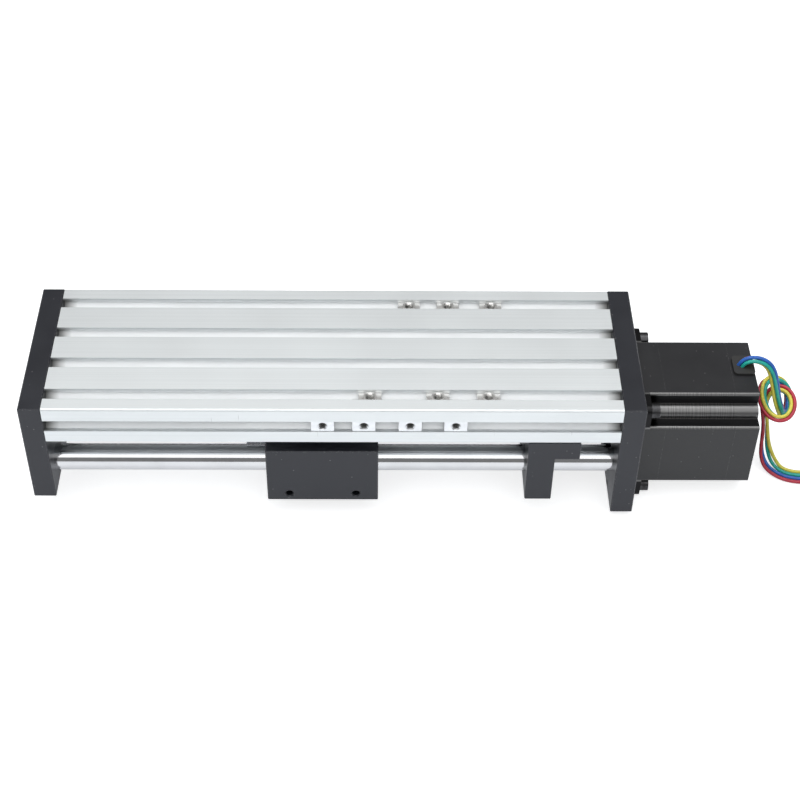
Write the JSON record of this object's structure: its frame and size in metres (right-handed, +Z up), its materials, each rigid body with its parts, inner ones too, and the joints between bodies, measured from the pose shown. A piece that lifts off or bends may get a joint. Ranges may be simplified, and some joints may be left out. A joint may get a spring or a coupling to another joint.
{
  "type": "ball screw slide table",
  "caption": "Motor-driven linear slide: a slotted flat base between end plates, guide rods, and a carriage moved by a ball screw, with loose slot nuts and free motor leads.",
  "frame": {"origin": "under the middle of the table without its leads, at its lowest point", "axes": "+X along the screw towards the motor, +Y to the rear of the picture, +Z up as pictured, with the slotted base face up and the carriage underneath"},
  "size_m": [0.4383, 0.08, 0.0676],
  "materials": {
    "silver_anodised": "clear anodised, satin",
    "black_anodised": "black anodised, satin",
    "hard_chrome": "hard chrome plated and ground",
    "ground_steel": "ground and polished",
    "spring_steel": "phosphated spring steel",
    "black_steel": "black oxide",
    "silver_turned": "turned",
    "motor_paint": "black, half matt",
    "rotor_steel": "ground laminations",
    "rubber": "matt",
    "zinc_steel": "bright zinc plated",
    "nickel_steel": "nickel plated",
    "yellow_insulation": "soft PVC",
    "green_insulation": "soft PVC",
    "blue_insulation": "soft PVC",
    "red_insulation": "soft PVC",
    "tinned_copper": "tinned strands"
  },
  "bodies": {
    "frame": {"base_extrusion": "silver_anodised", "end_plate": "black_anodised", "motor_plate": "black_anodised", "guide_rod_front": "hard_chrome", "guide_rod_rear": "hard_chrome", "support_block": "black_anodised", "support_bearing_outer": "ground_steel", "support_circlip": "spring_steel", "end_bearing_outer": "ground_steel", "end_plate_screws": "black_steel", "motor_plate_screws": "black_steel", "rod_screws": "black_steel", "support_block_screws": "black_steel", "support_block_nuts": "zinc_steel", "motor_front_cap": "motor_paint", "motor_stator": "motor_paint", "motor_rear_cap": "motor_paint", "motor_bearing_outers": "ground_steel", "motor_screws": "black_steel", "motor_tie_screws": "black_steel", "lead_grommet": "rubber", "lead_yellow": "yellow_insulation", "lead_green": "green_insulation", "lead_blue": "blue_insulation", "lead_red": "red_insulation", "lead_tips": "tinned_copper"},
    "carriage": {"carriage_block": "black_anodised", "linear_bearing_front": "ground_steel", "linear_bearing_rear": "ground_steel", "linear_bearing_circlips": "spring_steel", "ball_nut": "ground_steel", "nut_wipers": "rubber", "nut_screws": "black_steel"},
    "screw": {"ball_screw": "ground_steel", "support_bearing_inner": "ground_steel", "end_bearing_inner": "ground_steel", "screw_locknut": "black_steel", "end_circlip": "spring_steel", "coupling": "silver_turned", "coupling_screws": "black_steel", "motor_shaft": "ground_steel", "motor_rotor": "rotor_steel", "motor_bearing_inners": "ground_steel"},
    "front_slot_nut_1": {"front_slot_nut_1": "zinc_steel"},
    "front_slot_nut_2": {"front_slot_nut_2": "zinc_steel"},
    "front_slot_nut_3": {"front_slot_nut_3": "zinc_steel"},
    "front_slot_nut_4": {"front_slot_nut_4": "zinc_steel"},
    "upper_front_nut_1": {"upper_front_nut_1": "nickel_steel"},
    "upper_front_nut_2": {"upper_front_nut_2": "nickel_steel"},
    "upper_front_nut_3": {"upper_front_nut_3": "nickel_steel"},
    "upper_rear_nut_1": {"upper_rear_nut_1": "nickel_steel"},
    "upper_rear_nut_2": {"upper_rear_nut_2": "nickel_steel"},
    "upper_rear_nut_3": {"upper_rear_nut_3": "nickel_steel"}
  },
  "joints": [
    {"name": "screw_spin", "type": "hinge", "parent": "frame", "child": "screw", "pos_m": [0, 0, 0.0282], "axis": [-1, 0, 0], "range_deg": [-7659, 5859]},
    {"name": "carriage_slide", "type": "slide", "parent": "frame", "child": "carriage", "axis": [1, 0, 0], "range_m": [-0.085, 0.065]},
    {"name": "front_slot_nut_1_slide", "type": "slide", "parent": "frame", "child": "front_slot_nut_1", "axis": [1, 0, 0], "range_m": [-0.116, 0.00385]},
    {"name": "front_slot_nut_2_slide", "type": "slide", "parent": "frame", "child": "front_slot_nut_2", "axis": [1, 0, 0], "range_m": [-0.00385, 0.00495]},
    {"name": "front_slot_nut_3_slide", "type": "slide", "parent": "frame", "child": "front_slot_nut_3", "axis": [1, 0, 0], "range_m": [-0.00495, 0.0048]},
    {"name": "front_slot_nut_4_slide", "type": "slide", "parent": "frame", "child": "front_slot_nut_4", "axis": [1, 0, 0], "range_m": [-0.0048, 0.0675]},
    {"name": "upper_front_nut_1_slide", "type": "slide", "parent": "frame", "child": "upper_front_nut_1", "axis": [1, 0, 0], "range_m": [-0.1366, 0.0097]},
    {"name": "upper_front_nut_2_slide", "type": "slide", "parent": "frame", "child": "upper_front_nut_2", "axis": [1, 0, 0], "range_m": [-0.0097, 0.00595]},
    {"name": "upper_front_nut_3_slide", "type": "slide", "parent": "frame", "child": "upper_front_nut_3", "axis": [1, 0, 0], "range_m": [-0.00595, 0.0531]},
    {"name": "upper_rear_nut_1_slide", "type": "slide", "parent": "frame", "child": "upper_rear_nut_1", "axis": [1, 0, 0], "range_m": [-0.1543, 0.0038]},
    {"name": "upper_rear_nut_2_slide", "type": "slide", "parent": "frame", "child": "upper_rear_nut_2", "axis": [1, 0, 0], "range_m": [-0.0038, 0.0048]},
    {"name": "upper_rear_nut_3_slide", "type": "slide", "parent": "frame", "child": "upper_rear_nut_3", "axis": [1, 0, 0], "range_m": [-0.0048, 0.0495]}
  ],
  "couplings": [
    {"joint": "screw_spin", "follows": "carriage_slide", "rad_per_m": 1570.8}
  ]
}
